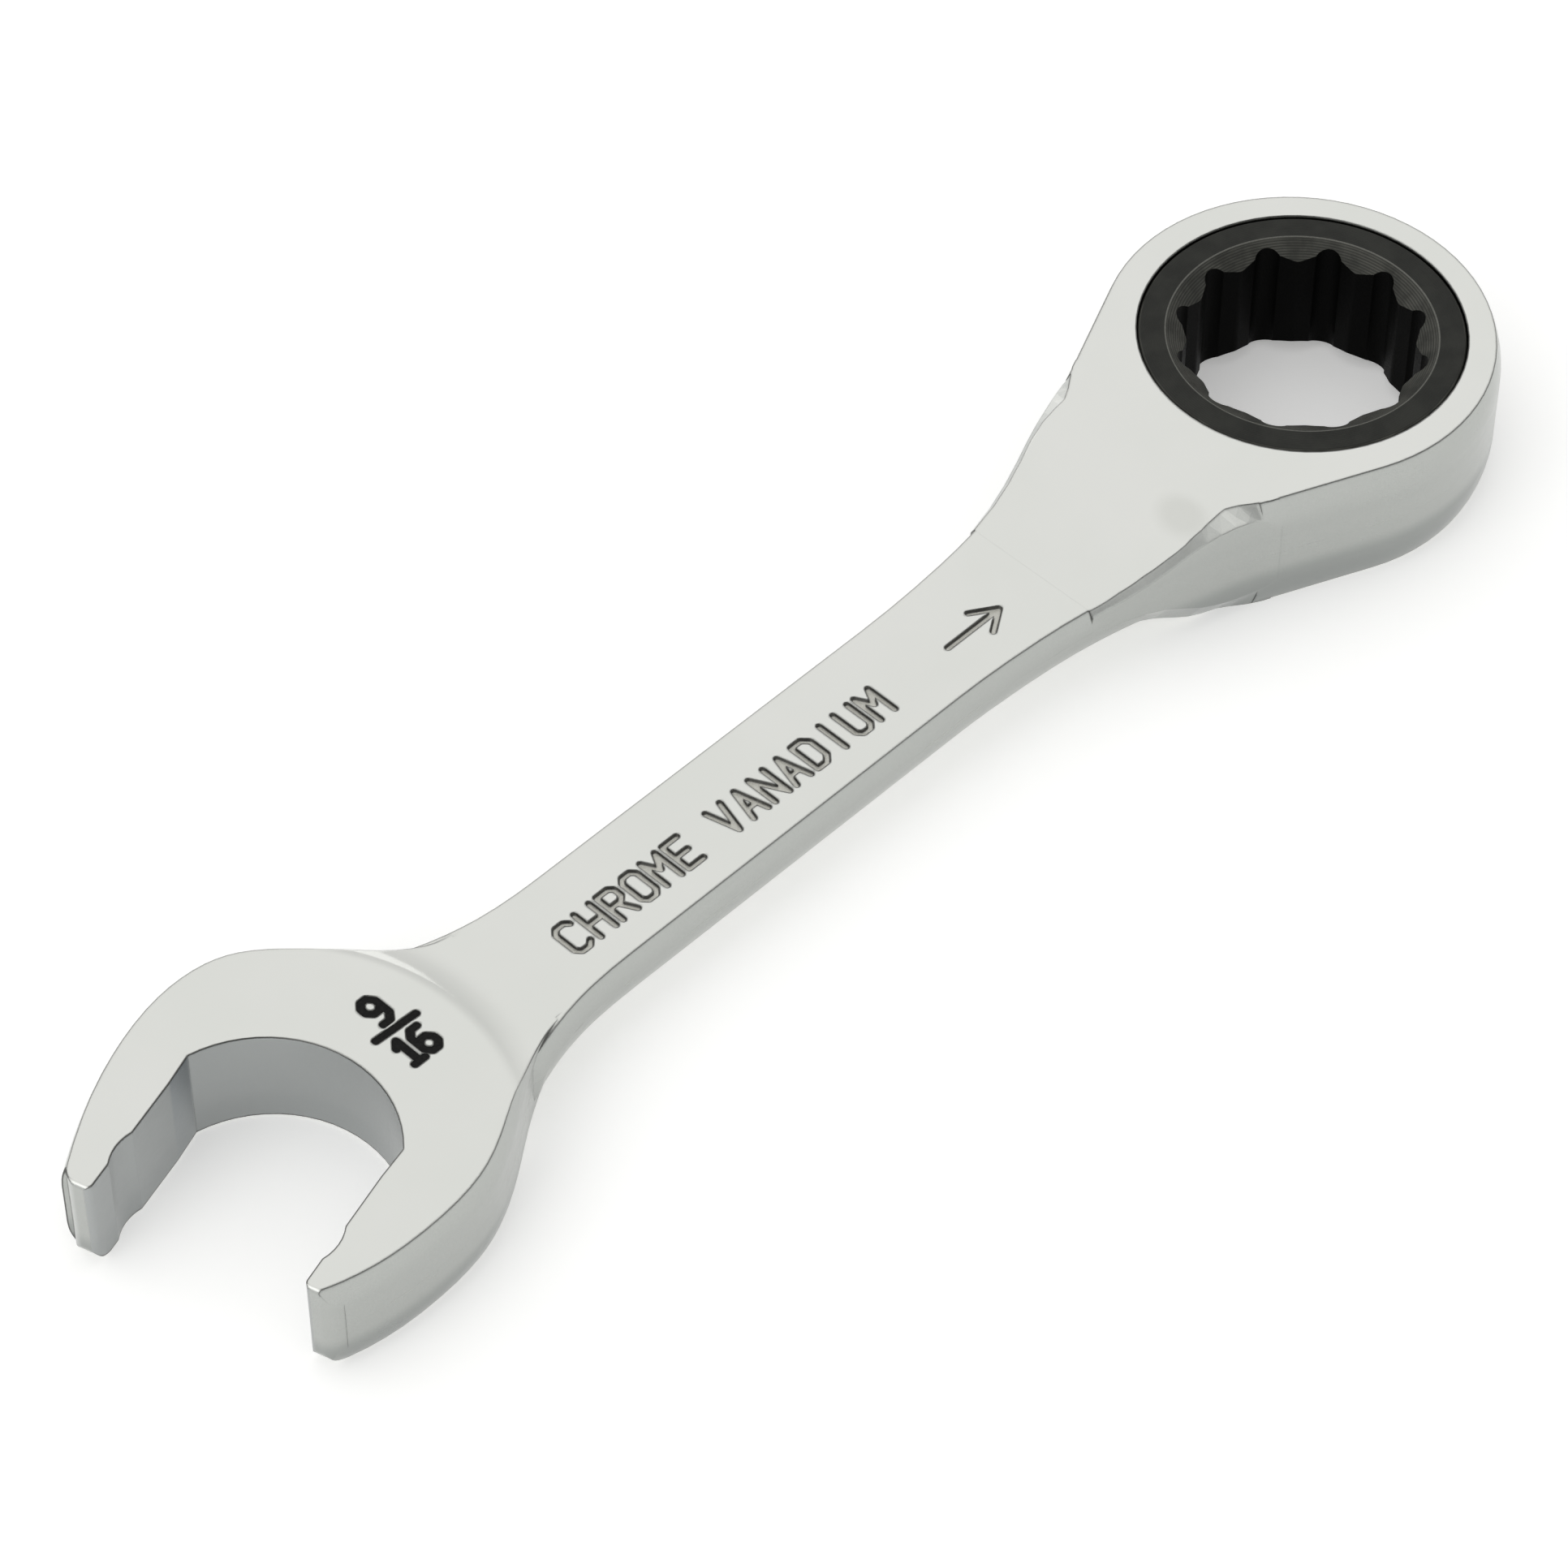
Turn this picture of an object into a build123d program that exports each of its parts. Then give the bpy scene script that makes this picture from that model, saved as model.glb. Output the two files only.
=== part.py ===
from build123d import *
"""Stubby ratcheting combination wrench, 9/16 inch, as separate working pieces (mm, +Z up).

Origin: on the axis of the ring drive, half way through the thickness.
X runs along the handle towards the open jaw, Z is the drive axis.
"""
import os
from math import asin, atan2, cos, degrees, pi, radians, sin, sqrt

# ---------------------------------------------------------------- driving dimensions
across_flats = 14.29          # 9/16 inch hexagon
drive_clearance = 0.08        # added to the ring drive
jaw_clearance = 0.11          # added to the open jaw

head_half = 4.7               # half thickness of the ring head
head_radius = 12.8            # edge of the flat faces of the ring head
head_shift = 0.3              # head outline sits a little towards the handle
head_taper = 23.9             # half angle of the straight sides of the head
side_bulge = 0.45             # how far the rounded sides stand out past the flat faces
shank_bulge = 0.42            # the same for the shank
head_round, shank_round, jaw_round = 6.0, 3.5, 4.2   # radii of the rounded sides

shank_half = 1.75             # half thickness of the shank
shank_side = 4.52             # half width of the shank at its rounded sides
jaw_half = 3.7                # half thickness of the open end

jaw_x, jaw_y = 91.45, 0.2     # centre of the open jaw
jaw_angle = 16.5              # the jaw is turned off the handle line
jaw_disc_radius = 14.95       # edge of the raised flat face of the open end
throat_depth = 7.82           # jaw centre to the bottom of the round throat
throat_corner, throat_half = -3.5, 7.32   # where the throat meets the run-in to the flats
flat_start = -1.2             # start of the jaw flats
jaw_reach = 7.6               # jaw centre to the jaw tips
tip_over = {1: 0.3, -1: 1.5}  # rounding of the jaw tips over to the front and the back face

# ratchet
tooth_count = 90
tip_radius = 11.68            # gear tooth tips
tooth_depth = 0.40
bore_radius = 11.76           # main bore of the head, open at the back
lip_bore_radius = 10.78       # smaller bore in the front lip
collar_radius = 10.68         # front collar of the ring gear
lip_z = 3.35                  # inner side of the front lip
gear_half = 4.65              # half height of the ring gear
clip_z = -3.7                 # plane of the retaining clip
clip_wire = 0.70              # wire diameter of the clip

# pawl: slides along a wall that is turned off the tangent of the gear
pocket_turn = 8.0             # turns the pocket about the drive axis
slide_angle = 25.0            # slide wall against the tangent
wall_distance = 13.93         # slide wall from the drive axis
pawl_half = 2.30              # half height of the pawl
pawl_front, pawl_rear = -0.9, -8.4   # ends of the pawl along the slide, in full mesh
mesh_travel = 0.97            # slide from full mesh to just clear of the teeth
spring_offset = 12.0          # spring axis from the drive axis, square to the slide
spring_seat = -11.8           # closed end of the spring hole in the body
pocket_rear = -9.95           # pocket end behind the pawl
spring_bore = -5.2            # bottom of the spring hole in the pawl, in full mesh
spring_radius = 0.72          # to the wire centre
spring_wire = 0.22

mark_depth = 0.20
stroke = 0.40                 # line width of the stamped marks


# ---------------------------------------------------------------- blanks with rounded sides
def crown(half, bulge, radius):
    """Blank half height and fillet so the side leaves the flat face `bulge` inside its widest."""
    rise = sqrt(radius ** 2 - (radius - bulge) ** 2)
    return half - rise + radius


# ring head: a round boss with straight sides running in to the neck
taper = radians(head_taper)
side_radius = head_radius + side_bulge
tangent_x = head_shift + side_radius * sin(taper)
tangent_y = side_radius * cos(taper)
head_end = 13.4
head_end_y = tangent_y - (head_end - tangent_x) * sin(taper) / cos(taper)

with BuildPart() as head_blank:
    with BuildSketch():
        with BuildLine():
            ThreePointArc((tangent_x, tangent_y), (head_shift - side_radius, 0),
                          (tangent_x, -tangent_y))
            Polyline((tangent_x, -tangent_y), (head_end, -head_end_y),
                     (head_end, head_end_y), (tangent_x, tangent_y))
        make_face()
    extrude(amount=crown(head_half, side_bulge, head_round), both=True)
    rims = [e for e in head_blank.edges().filter_by(GeomType.LINE, reverse=True)
            if abs(e.center().Z) > head_half]
    rims += [e for e in head_blank.edges().filter_by(GeomType.LINE)
             if abs(e.center().Z) > head_half and abs(e.center().Y) > 2]
    fillet(rims, head_round)
    with BuildSketch(Plane.XZ):
        Rectangle(80, 2 * head_half)
    extrude(amount=40, both=True, mode=Mode.INTERSECT)

# neck: the thick head runs down to the thin shank on a hollow ramp
ramp_end = 26.0
ramp_radius = 15.2            # hollow of the ramp
brow_radius = 8.0             # rounding where the ramp leaves the flat face
brow_start = ramp_end - sqrt((brow_radius + ramp_radius) ** 2
                             - (shank_half + ramp_radius - head_half + brow_radius) ** 2)
brow_end = brow_start + (ramp_end - brow_start) * brow_radius / (brow_radius + ramp_radius)


def ramp_height(x):
    """Height of the neck above the middle plane: flat, rounded brow, hollow ramp."""
    if x < brow_start:
        return head_half
    if x < brow_end:
        return head_half - brow_radius + sqrt(brow_radius ** 2 - (x - brow_start) ** 2)
    return shank_half + ramp_radius - sqrt(ramp_radius ** 2 - max(ramp_end - x, 0) ** 2)


# bevel along the top edges of the neck: (x, half width of the wall, bevel inwards, bevel down)
bevel_stations = [(12.0, 9.33, 0.46, 2.30), (12.8, 8.98, 0.46, 1.90), (13.6, 8.64, 0.66, 1.25),
                  (14.5, 8.27, 0.94, 1.00), (15.3, 7.99, 1.10, 0.92), (16.3, 7.69, 0.84, 0.86),
                  (17.4, 7.41, 0.60, 0.78), (18.6, 7.08, 0.44, 0.66), (20.0, 6.68, 0.44, 0.62),
                  (21.6, 6.24, 0.44, 0.60), (23.4, 5.80, 0.40, 0.58), (25.9, 5.24, 0.30, 0.50)]

# the bevel along the lower edges is deeper
under_stations = [(12.0, 9.33, 0.46, 2.30), (12.8, 8.98, 0.46, 2.00), (13.6, 8.64, 0.58, 1.75),
                  (14.5, 8.27, 0.86, 1.60), (15.3, 7.99, 1.08, 1.55), (16.3, 7.69, 1.06, 1.60),
                  (17.4, 7.41, 1.06, 1.68), (18.6, 7.08, 1.10, 1.75), (20.0, 6.68, 1.12, 1.75),
                  (21.6, 6.24, 1.05, 1.62), (23.4, 5.80, 0.86, 1.40), (25.9, 5.24, 0.56, 1.20)]

with BuildPart() as under_cutter:
    for x, wall, inwards, down in under_stations:
        top = ramp_height(x)
        with BuildSketch(Plane(origin=(x, 0, 0), x_dir=(0, 1, 0), z_dir=(1, 0, 0))):
            Polygon((wall - 1.6 * inwards, top + 0.6 * down), (wall + 0.6 * inwards, top - 1.6 * down),
                    (wall + 1.9, top + 1.9), align=None)
    loft(ruled=True)

with BuildPart() as bevel_cutter:
    for x, wall, inwards, down in bevel_stations:
        top = ramp_height(x)
        with BuildSketch(Plane(origin=(x, 0, 0), x_dir=(0, 1, 0), z_dir=(1, 0, 0))):
            Polygon((wall - 1.6 * inwards, top + 0.6 * down), (wall + 0.6 * inwards, top - 1.6 * down),
                    (wall + 1.5, top + 1.5), align=None)
    loft(ruled=True)

with BuildPart() as neck_blank:
    with BuildSketch():
        with BuildLine():
            Spline((12.2, 9.25), (15.0, 8.1), (18.0, 7.25), (21.0, 6.40), (25.7, 5.28))
            Line((25.7, 5.28), (25.7, -5.28))
            Spline((25.7, -5.28), (21.0, -6.40), (18.0, -7.25), (15.0, -8.1), (12.2, -9.25))
            Line((12.2, -9.25), (12.2, 9.25))
        make_face()
    extrude(amount=head_half, both=True)
    with BuildSketch(Plane.XZ):
        with BuildLine():
            for side in (1, -1):
                on_brow, on_ramp = (brow_start + brow_end) / 2, (brow_end + ramp_end) / 2
                Line((11, side * head_half), (brow_start, side * head_half))
                ThreePointArc((brow_start, side * head_half), (on_brow, side * ramp_height(on_brow)),
                              (brow_end, side * ramp_height(brow_end)))
                ThreePointArc((brow_end, side * ramp_height(brow_end)),
                              (on_ramp, side * ramp_height(on_ramp)), (ramp_end, side * shank_half))
            Line((ramp_end, shank_half), (ramp_end, -shank_half))
            Line((11, head_half), (11, -head_half))
        make_face()
    extrude(amount=14, both=True, mode=Mode.INTERSECT)
    near_bevels = [bevel_cutter.part, mirror(under_cutter.part, about=Plane.XY)]
    far_bevels = [mirror(cutter, about=Plane.XZ) for cutter in near_bevels]
    for cutter in near_bevels + far_bevels:
        add(cutter, mode=Mode.SUBTRACT)

# shank: thin bar, waisted, with rounded sides
with BuildPart() as shank_blank:
    with BuildSketch():
        with BuildLine():
            Spline((16.0, 7.75), (20.0, 6.66), (24.0, 5.66), (28.0, 5.02), (32.0, 4.68),
                   (37.0, shank_side), tangents=((1, -0.28), (1, 0)))
            Line((37.0, shank_side), (65.0, shank_side))
            Spline((65.0, shank_side), (70.6, 4.92), (74.7, 6.1), (79.0, 8.3),
                   tangents=((1, 0), (1, 0.62)))
            Line((79.0, 8.3), (79.0, -8.3))
            Spline((79.0, -8.3), (74.7, -6.1), (70.6, -4.92), (65.0, -shank_side),
                   tangents=((-1, 0.62), (-1, 0)))
            Line((65.0, -shank_side), (37.0, -shank_side))
            Spline((37.0, -shank_side), (32.0, -4.68), (28.0, -5.02), (24.0, -5.66),
                   (20.0, -6.66), (16.0, -7.75), tangents=((-1, 0), (-1, -0.28)))
            Line((16.0, -7.75), (16.0, 7.75))
        make_face()
    extrude(amount=crown(shank_half, shank_bulge, shank_round), both=True)
    rims = [e for e in shank_blank.edges()
            if abs(e.center().Z) > shank_half and abs(e.center().Y) > 1]
    fillet(rims, shank_round)
    with BuildSketch(Plane.XZ):
        with Locations((50, 0)):
            Rectangle(100, 2 * shank_half)
    extrude(amount=40, both=True, mode=Mode.INTERSECT)

# open end: raised flat faces, closed at the front until the jaw is cut
disc_x = 91.6
disc_ramp = 5.8               # length of the hollow ramp from the raised face to the shank
disc_brow = 3.0               # rounding where the ramp leaves the raised face
disc_drop = jaw_half - shank_half
disc_hollow = (disc_ramp ** 2 + disc_drop ** 2) / (2 * disc_drop)

with BuildPart() as jaw_blank:
    with BuildSketch():
        with BuildLine():
            Spline((72.0, 4.6), (75.4, 6.05), (79.3, 8.75), (83.4, 11.0), (88.4, 11.82),
                   (93.4, 11.5), (98.5, 9.6))
            Line((98.5, 9.6), (101.5, -6.6))
            Spline((101.5, -6.6), (97.6, -9.3), (91.4, -12.15), (87.0, -12.92), (83.2, -12.2),
                   (79.6, -9.3), (76.9, -6.75), (72.0, -4.6))
            Line((72.0, -4.6), (72.0, 4.6))
        make_face()
    extrude(amount=crown(jaw_half, side_bulge, jaw_round), both=True)
    rims = [e for e in jaw_blank.edges().filter_by(GeomType.LINE, reverse=True)
            if abs(e.center().Z) > jaw_half]
    fillet(rims, jaw_round)
    with BuildSketch(Plane.XZ):
        with Locations((90, 0)):
            Rectangle(60, 2 * jaw_half)
    extrude(amount=40, both=True, mode=Mode.INTERSECT)
    # carries the foot of the ramp into the shank
    with Locations((71.4, 0)):
        Box(2.8, 8.8, 4.4)
    near, low = disc_x - jaw_disc_radius, disc_x - jaw_disc_radius - disc_ramp
    for side in (1, -1):
        with BuildSketch(Plane.XZ) as ramp_cut:
            with BuildLine():
                Line((near + 3, side * jaw_half), (near, side * jaw_half))
                ThreePointArc((near, side * jaw_half),
                              (low + disc_hollow * sin(0.3), side * (shank_half + disc_hollow * (1 - cos(0.3)))),
                              (low, side * shank_half))
                Polyline((low, side * shank_half), (disc_x - 24, side * shank_half),
                         (disc_x - 24, side * 6), (near + 3, side * 6), (near + 3, side * jaw_half))
            make_face()
            fillet([v for v in ramp_cut.vertices() if abs(v.X - near) < 0.01], disc_brow)
        revolve(axis=Axis((disc_x, 0, 0), (0, 0, 1)), revolution_arc=360, mode=Mode.SUBTRACT)

# ---------------------------------------------------------------- wrench body
turn = radians(pocket_turn)
slide = radians(slide_angle)


def slide_point(across, along):
    """Plan point at `across` square to the slide wall and `along` the slide (towards mesh)."""
    x = across * cos(slide) - along * sin(slide)
    y = across * sin(slide) + along * cos(slide)
    return (x * cos(turn) - y * sin(turn), x * sin(turn) + y * cos(turn))


slide_dir = (-sin(slide + turn), cos(slide + turn))
hexagon = (across_flats + drive_clearance) / 2
flat = (across_flats + jaw_clearance) / 2
jaw_plane = Plane(origin=(jaw_x, jaw_y, 0), x_dir=(cos(radians(jaw_angle)), sin(radians(jaw_angle)), 0),
                  z_dir=(0, 0, 1))

# stamped marks are single-stroke letters on a grid 2 wide and 4 high
letters = {
    "C": [(2, 3.5, 1.5, 4), (1.5, 4, 0.5, 4), (0.5, 4, 0, 3.4), (0, 3.4, 0, 0.6), (0, 0.6, 0.5, 0),
          (0.5, 0, 1.5, 0), (1.5, 0, 2, 0.5)],
    "H": [(0, 0, 0, 4), (2, 0, 2, 4), (0, 2, 2, 2)],
    "R": [(0, 0, 0, 4), (0, 4, 1.5, 4), (1.5, 4, 2, 3.5), (2, 3.5, 2, 2.5), (2, 2.5, 1.5, 2),
          (1.5, 2, 0, 2), (1, 2, 2, 0)],
    "O": [(0.5, 4, 1.5, 4), (1.5, 4, 2, 3.4), (2, 3.4, 2, 0.6), (2, 0.6, 1.5, 0), (1.5, 0, 0.5, 0),
          (0.5, 0, 0, 0.6), (0, 0.6, 0, 3.4), (0, 3.4, 0.5, 4)],
    "M": [(0, 0, 0, 4), (0, 4, 1, 2), (1, 2, 2, 4), (2, 4, 2, 0)],
    "E": [(0, 0, 0, 4), (0, 4, 2, 4), (0, 2, 1.7, 2), (0, 0, 2, 0)],
    "V": [(0, 4, 1, 0), (1, 0, 2, 4)],
    "A": [(0, 0, 1, 4), (1, 4, 2, 0), (0.4, 1.4, 1.6, 1.4)],
    "N": [(0, 0, 0, 4), (0, 4, 2, 0), (2, 0, 2, 4)],
    "D": [(0, 0, 0, 4), (0, 4, 1.3, 4), (1.3, 4, 2, 3.2), (2, 3.2, 2, 0.8), (2, 0.8, 1.3, 0), (1.3, 0, 0, 0)],
    "I": [(1, 0, 1, 4)],
    "U": [(0, 4, 0, 0.6), (0, 0.6, 0.5, 0), (0.5, 0, 1.5, 0), (1.5, 0, 2, 0.6), (2, 0.6, 2, 4)],
    "9": [(0.3, 0, 1.3, 0), (1.3, 0, 2, 0.9), (2, 0.9, 2, 3.2), (2, 3.2, 1.4, 4), (1.4, 4, 0.6, 4),
          (0.6, 4, 0, 3.3), (0, 3.3, 0, 2.5), (0, 2.5, 0.6, 1.8), (0.6, 1.8, 1.4, 1.8), (1.4, 1.8, 2, 2.4)],
    "1": [(1.1, 0, 1.1, 4), (1.1, 4, 0.3, 3.1), (0.3, 0, 1.9, 0)],
    "6": [(1.7, 4, 0.7, 4), (0.7, 4, 0, 3.1), (0, 3.1, 0, 0.8), (0, 0.8, 0.6, 0), (0.6, 0, 1.4, 0),
          (1.4, 0, 2, 0.7), (2, 0.7, 2, 1.5), (2, 1.5, 1.4, 2.2), (1.4, 2.2, 0.6, 2.2), (0.6, 2.2, 0, 1.6)],
    " ": [],
}


def strokes(word, right, top, high, wide, pitch):
    """End points of every stroke. The marks read towards the ring with their tops at -Y."""
    lines = []
    for place, letter in enumerate(word):
        left = right - place * pitch
        for u1, v1, u2, v2 in letters[letter]:
            lines.append(((left - u1 * wide / 2, top + (4 - v1) * high / 4),
                          (left - u2 * wide / 2, top + (4 - v2) * high / 4)))
    return lines


def draw(lines, width):
    for (x1, y1), (x2, y2) in lines:
        long = sqrt((x2 - x1) ** 2 + (y2 - y1) ** 2)
        with Locations(Location(((x1 + x2) / 2, (y1 + y2) / 2, 0),
                                (0, 0, degrees(atan2(y2 - y1, x2 - x1))))):
            SlotCenterToCenter(long, width)


steel_mark = strokes("CHROME VANADIUM", 67.6, -0.45, 2.35, 1.25, 1.87)
arrow_mark = [((34.2, 0.75), (29.5, 0.75)), ((31.2, -0.35), (29.5, 0.75)), ((31.2, 1.85), (29.5, 0.75))]
nine_mark = strokes("9", 80.7, -3.45, 2.15, 1.08, 1.0)
bar_mark = [((81.7, -0.72), (78.6, -0.56))]
one_mark = strokes("1", 81.4, 0.13, 2.05, 1.0, 1.0)
six_mark = strokes("6", 80.1, 0.13, 2.05, 1.06, 1.0)
size_stroke = 0.52

with BuildPart() as wrench_body:
    add(neck_blank.part)
    add(shank_blank.part)
    add(head_blank.part)
    add(jaw_blank.part)

    # bore for the ring gear, open at the back, with a thin lip at the front
    with BuildSketch(Plane.XY.offset(-6)):
        Circle(bore_radius)
    extrude(amount=6 + lip_z, mode=Mode.SUBTRACT)
    with BuildSketch(Plane.XY):
        Circle(lip_bore_radius)
    extrude(amount=6, mode=Mode.SUBTRACT)
    # groove for the retaining clip
    with BuildSketch(Plane.XY.offset(clip_z - clip_wire / 2 - 0.03)):
        Circle(bore_radius + 0.42)
    extrude(amount=clip_wire + 0.06, mode=Mode.SUBTRACT)
    # pawl pocket, reached from the bore
    with BuildSketch(Plane.XY.offset(-pawl_half - 0.04)):
        Polygon(slide_point(8.5, -0.7), slide_point(wall_distance, -0.7),
                slide_point(wall_distance, pocket_rear), slide_point(6.0, pocket_rear), align=None)
    extrude(amount=2 * pawl_half + 0.08, mode=Mode.SUBTRACT)
    # blind hole for the far end of the pawl spring
    sx, sy = slide_point(spring_offset, pocket_rear + 0.5)
    with BuildSketch(Plane(origin=(sx, sy, 0), z_dir=(-slide_dir[0], -slide_dir[1], 0))):
        Circle(spring_radius + spring_wire / 2 + 0.09)
    extrude(amount=pocket_rear + 0.5 - spring_seat, mode=Mode.SUBTRACT)

    # open jaw: round throat, two flats with a shallow hollow in each, rounded tips
    with BuildSketch(jaw_plane.offset(-6)):
        with BuildLine():
            ThreePointArc((throat_corner, throat_half), (-throat_depth, 0), (throat_corner, -throat_half))
            Polyline((throat_corner, -throat_half), (flat_start, -flat), (14, -flat), (14, flat),
                     (flat_start, flat), (throat_corner, throat_half))
        make_face()
        for side in (1, -1):
            with BuildLine():
                ThreePointArc((2.8, side * (flat - 0.02)), (3.9, side * (flat + 0.28)),
                              (5.5, side * (flat - 0.02)))
                Line((5.5, side * (flat - 0.02)), (2.8, side * (flat - 0.02)))
            make_face()
        with Locations((jaw_reach + 5, 0)):
            Rectangle(10, 40)
        for side in (1, -1):
            with BuildLine():
                ThreePointArc((jaw_reach, side * 8.3), (jaw_reach - 0.25, side * 8.8),
                              (jaw_reach - 0.9, side * 9.3))
                Polyline((jaw_reach - 0.9, side * 9.3), (jaw_reach, side * 11),
                         (jaw_reach + 1, side * 9), (jaw_reach, side * 8.3))
            make_face()
            with BuildLine():
                ThreePointArc((jaw_reach - 0.5, side * flat), (jaw_reach - 0.14, side * (flat + 0.14)),
                              (jaw_reach, side * (flat + 0.5)))
                Polyline((jaw_reach, side * (flat + 0.5)), (jaw_reach + 1, side * flat),
                         (jaw_reach, side * (flat - 1)), (jaw_reach - 0.5, side * flat))
            make_face()
    extrude(amount=12, mode=Mode.SUBTRACT)
    # round the prong tips over towards both faces
    with BuildSketch(Plane(origin=jaw_plane.origin, x_dir=jaw_plane.x_dir, z_dir=-jaw_plane.y_dir)):
        for side in (1, -1):
            with BuildLine():
                over_by = tip_over[side]
                top, end = (jaw_reach - over_by, side * (jaw_half + 0.02)), (jaw_reach + 0.02, side * (jaw_half - over_by))
                ThreePointArc(top, (jaw_reach - 0.29 * over_by, side * (jaw_half - 0.29 * over_by)), end)
                Polyline(end, (jaw_reach + 2, side * (jaw_half - over_by)), (jaw_reach + 2, side * (jaw_half + 2)),
                         (jaw_reach - over_by, side * (jaw_half + 2)), top)
            make_face()
    extrude(amount=20, both=True, mode=Mode.SUBTRACT)
    # stamped marks
    with BuildSketch(Plane.XY.offset(shank_half - mark_depth)):
        draw(steel_mark + arrow_mark, stroke)
    extrude(amount=1, mode=Mode.SUBTRACT)
    with BuildSketch(Plane.XY.offset(jaw_half - mark_depth)):
        draw(nine_mark + bar_mark + one_mark + six_mark, size_stroke)
    extrude(amount=1, mode=Mode.SUBTRACT)

# ---------------------------------------------------------------- ring gear
step = 2 * pi / tooth_count
tooth_outline = []
for i in range(tooth_count):
    middle = i * step
    for turn_by, radius in ((-0.09, tip_radius), (0.09, tip_radius), (0.5, tip_radius - tooth_depth)):
        tooth_outline.append((radius * cos(middle + turn_by * step), radius * sin(middle + turn_by * step)))

band_low, band_high = -2.5, 3.28       # toothed band
relief_centre, relief_radius = 7.45, 0.92   # round relief in each of the twelve drive corners
tip_round = 0.7               # rounding of the twelve inner points of the drive
drive_turn = -2.0             # how the drive stands in the ring, degrees
mouth_radius, mouth_slope = 8.9, 0.66       # lead-in cone at both faces

with BuildPart() as ring_gear:
    with BuildSketch(Plane.XY.offset(band_low)):
        Polygon(*tooth_outline, align=None)
    extrude(amount=band_high - band_low)
    with BuildSketch(Plane.XY.offset(-gear_half)):
        Circle(tip_radius)
    extrude(amount=gear_half - 2.9)
    with BuildSketch(Plane.XY.offset(-2.95)):
        Circle(tip_radius - tooth_depth - 0.1)
    extrude(amount=0.5)
    with BuildSketch(Plane.XY.offset(band_high - 0.1)):
        Circle(collar_radius)
    extrude(amount=gear_half - band_high + 0.1)
    # groove for the retaining clip
    with BuildSketch(Plane.XY.offset(clip_z - clip_wire / 2 - 0.03)):
        Circle(tip_radius + 1)
        Circle(tip_radius - 0.38, mode=Mode.SUBTRACT)
    extrude(amount=clip_wire + 0.06, mode=Mode.SUBTRACT)
    rims = [e for e in ring_gear.edges().filter_by(GeomType.CIRCLE) if abs(e.center().Z) > gear_half - 0.01]
    chamfer(rims, 0.15)
    # twelve-point drive with round reliefs in its corners
    with BuildSketch(Plane.XY.offset(-gear_half - 1)) as drive:
        RegularPolygon(hexagon, 6, major_radius=False, rotation=drive_turn)
        RegularPolygon(hexagon, 6, major_radius=False, rotation=drive_turn + 30)
        fillet(drive.vertices().filter_by(
            lambda v: Vector(v.X, v.Y, 0).length < hexagon * 1.045), tip_round)
        with PolarLocations(relief_centre, 12, start_angle=drive_turn):
            Circle(relief_radius)
    extrude(amount=2 * gear_half + 2, mode=Mode.SUBTRACT)
    for side in (1, -1):
        with BuildSketch(Plane.XZ):
            Polygon((0, side * gear_half), (mouth_radius, side * gear_half),
                    (0, side * (gear_half - mouth_slope * mouth_radius)), align=None)
        revolve(axis=Axis.Z, mode=Mode.SUBTRACT)

# ---------------------------------------------------------------- pawl, drawn just clear of the teeth
back = (-slide_dir[0] * mesh_travel, -slide_dir[1] * mesh_travel)
pawl_teeth = [radians(a) for a in (-10, -6, -2, 2, 6, 10)]
pawl_tip, pawl_root = tip_radius - tooth_depth + 0.04, tip_radius + 0.05


def polar(radius, angle):
    return (radius * cos(angle) + back[0], radius * sin(angle) + back[1])


def beside(across, along):
    x, y = slide_point(across, along)
    return (x + back[0], y + back[1])


relief = tip_radius + 0.42
front_angle = turn + slide + asin(pawl_front / relief)
with BuildPart() as pawl:
    with BuildSketch(Plane.XY.offset(-pawl_half)):
        with BuildLine():
            teeth = [polar(pawl_root, pawl_teeth[0] - step / 2)]
            for a in pawl_teeth:
                teeth += [polar(pawl_tip, a - 0.08 * step), polar(pawl_tip, a + 0.08 * step),
                          polar(pawl_root, a + step / 2)]
            Polyline(*teeth)
            last = pawl_teeth[-1] + step / 2
            Line(polar(pawl_root, last), polar(relief, last + 0.3 * step))
            ThreePointArc(polar(relief, last + 0.3 * step),
                          polar(relief, (last + 0.3 * step + front_angle) / 2), polar(relief, front_angle))
            Polyline(polar(relief, front_angle), beside(wall_distance - 0.9, pawl_front),
                     beside(wall_distance - 0.03, pawl_front - 0.9),
                     beside(wall_distance - 0.03, pawl_rear + 0.5),
                     beside(wall_distance - 0.53, pawl_rear), beside(9.2, pawl_rear),
                     polar(pawl_root, pawl_teeth[0] - step / 2))
        make_face()
    extrude(amount=2 * pawl_half)
    hx, hy = beside(spring_offset, pawl_rear - 0.5)
    with BuildSketch(Plane(origin=(hx, hy, 0), z_dir=(slide_dir[0], slide_dir[1], 0))):
        Circle(spring_radius + spring_wire / 2 + 0.09)
    extrude(amount=spring_bore - pawl_rear + 0.5, mode=Mode.SUBTRACT)

# ---------------------------------------------------------------- pawl spring
spring_near = spring_bore - mesh_travel - spring_wire / 2 - 0.01
spring_far = spring_seat + spring_wire / 2 + 0.01
spring_length = spring_near - spring_far
ox, oy = slide_point(spring_offset, spring_far)
with BuildPart() as pawl_spring:
    with BuildLine() as coil:
        Helix(pitch=spring_length / 8, height=spring_length, radius=spring_radius,
              center=(ox, oy, 0), direction=(slide_dir[0], slide_dir[1], 0))
    with BuildSketch(Plane(origin=coil.line @ 0, z_dir=coil.line % 0)):
        Circle(spring_wire / 2)
    sweep(path=coil.line)

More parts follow.
